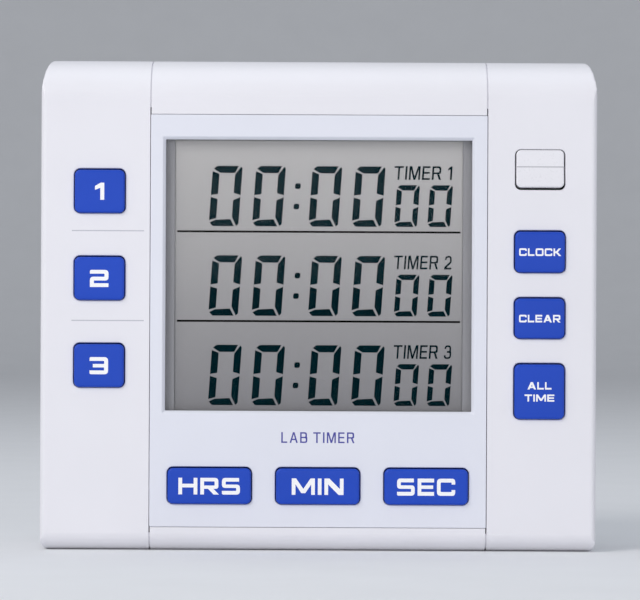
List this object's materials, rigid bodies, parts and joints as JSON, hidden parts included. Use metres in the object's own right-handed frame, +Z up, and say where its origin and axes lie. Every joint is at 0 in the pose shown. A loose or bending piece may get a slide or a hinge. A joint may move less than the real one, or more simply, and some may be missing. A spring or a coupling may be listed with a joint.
{
  "type": "lab timer",
  "caption": "Bench timer with a large display of three channels, press keys, a rocker switch, a battery door and a fold-out stand.",
  "frame": {"origin": "middle of the bounding box at the flat bottom that the timer stands on", "axes": "+X to the right seen from the front, -Y out of the display, +Z up"},
  "size_m": [0.114, 0.03, 0.101],
  "materials": {
    "case_white": "satin",
    "panel_white": "satin",
    "window_clear": "gloss",
    "lcd_grey": "matte",
    "lcd_glass": "gloss",
    "polariser_film": "satin",
    "reflector_film": "satin",
    "elastomer_pink": "matte",
    "board_green": "satin",
    "steel": "satin",
    "chip_black": "gloss",
    "parts_tan": "matte",
    "mat_rubber": "matte",
    "carbon_black": "matte",
    "bracket_black": "matte",
    "rocker_white": "satin",
    "key_blue": "satin",
    "brass": "satin",
    "piezo_ceramic": "matte",
    "lead_red": "satin",
    "lead_black": "satin",
    "cell_jacket": "gloss",
    "contact_plate": "satin",
    "ferrite": "matte"
  },
  "bodies": {
    "root": {"front_shell": "case_white", "rear_shell": "case_white", "front_panel": "panel_white", "display_window": "window_clear", "lcd_frame": "lcd_grey", "lcd_front_glass": "lcd_glass", "lcd_rear_glass": "lcd_glass", "front_polariser": "polariser_film", "rear_reflector": "reflector_film", "elastomer_strip_top": "elastomer_pink", "elastomer_strip_bottom": "elastomer_pink", "main_board": "board_green", "board_screws": "steel", "timer_chip": "chip_black", "crystal": "steel", "board_parts": "parts_tan", "keypad_mat_left": "mat_rubber", "keypad_mat_right": "mat_rubber", "keypad_mat_bottom": "mat_rubber", "carbon_contacts": "carbon_black", "switch_base": "bracket_black", "buzzer_disc": "brass", "buzzer_ceramic": "piezo_ceramic", "buzzer_leads": "lead_red", "battery_lower": "cell_jacket", "battery_upper": "cell_jacket", "contact_negative": "contact_plate", "contact_positive": "contact_plate", "contact_bridge": "contact_plate", "battery_leads": "lead_black", "magnet_left": "ferrite", "magnet_right": "ferrite", "case_screws": "steel"},
    "key_1": {"key_1": "key_blue"},
    "key_2": {"key_2": "key_blue"},
    "key_3": {"key_3": "key_blue"},
    "key_clock": {"key_clock": "key_blue"},
    "key_clear": {"key_clear": "key_blue"},
    "key_all_time": {"key_all_time": "key_blue"},
    "key_hrs": {"key_hrs": "key_blue"},
    "key_min": {"key_min": "key_blue"},
    "key_sec": {"key_sec": "key_blue"},
    "switch_rocker": {"switch_rocker": "rocker_white"},
    "battery_door": {"battery_door": "case_white"},
    "stand": {"stand": "case_white"}
  },
  "joints": [
    {"name": "key_1_press", "type": "slide", "parent": "root", "child": "key_1", "axis": [0, 1, 0], "range_m": [0, 0.0008], "stiffness_N_per_m": 600, "springref_m": -0.0005, "deforming": ["keypad_mat_left"]},
    {"name": "key_2_press", "type": "slide", "parent": "root", "child": "key_2", "axis": [0, 1, 0], "range_m": [0, 0.0008], "stiffness_N_per_m": 600, "springref_m": -0.0005, "deforming": ["keypad_mat_left"]},
    {"name": "key_3_press", "type": "slide", "parent": "root", "child": "key_3", "axis": [0, 1, 0], "range_m": [0, 0.0008], "stiffness_N_per_m": 600, "springref_m": -0.0005, "deforming": ["keypad_mat_left"]},
    {"name": "key_clock_press", "type": "slide", "parent": "root", "child": "key_clock", "axis": [0, 1, 0], "range_m": [0, 0.0008], "stiffness_N_per_m": 600, "springref_m": -0.0005, "deforming": ["keypad_mat_right"]},
    {"name": "key_clear_press", "type": "slide", "parent": "root", "child": "key_clear", "axis": [0, 1, 0], "range_m": [0, 0.0008], "stiffness_N_per_m": 600, "springref_m": -0.0005, "deforming": ["keypad_mat_right"]},
    {"name": "key_all_time_press", "type": "slide", "parent": "root", "child": "key_all_time", "axis": [0, 1, 0], "range_m": [0, 0.0008], "stiffness_N_per_m": 600, "springref_m": -0.0005, "deforming": ["keypad_mat_right"]},
    {"name": "key_hrs_press", "type": "slide", "parent": "root", "child": "key_hrs", "axis": [0, 1, 0], "range_m": [0, 0.0008], "stiffness_N_per_m": 600, "springref_m": -0.0005, "deforming": ["keypad_mat_bottom"]},
    {"name": "key_min_press", "type": "slide", "parent": "root", "child": "key_min", "axis": [0, 1, 0], "range_m": [0, 0.0008], "stiffness_N_per_m": 600, "springref_m": -0.0005, "deforming": ["keypad_mat_bottom"]},
    {"name": "key_sec_press", "type": "slide", "parent": "root", "child": "key_sec", "axis": [0, 1, 0], "range_m": [0, 0.0008], "stiffness_N_per_m": 600, "springref_m": -0.0005, "deforming": ["keypad_mat_bottom"]},
    {"name": "rocker_tip", "type": "hinge", "parent": "root", "child": "switch_rocker", "pos_m": [0.0453, -0.0112, 0.0784], "axis": [1, 0, 0], "range_deg": [0, 8]},
    {"name": "door_swing", "type": "hinge", "parent": "root", "child": "battery_door", "pos_m": [0, 0.0139, 0.0932], "axis": [1, 0, 0], "range_deg": [0, 75]},
    {"name": "stand_fold", "type": "hinge", "parent": "root", "child": "stand", "pos_m": [0, 0.013, 0.062], "axis": [1, 0, 0], "range_deg": [0, 45]}
  ]
}
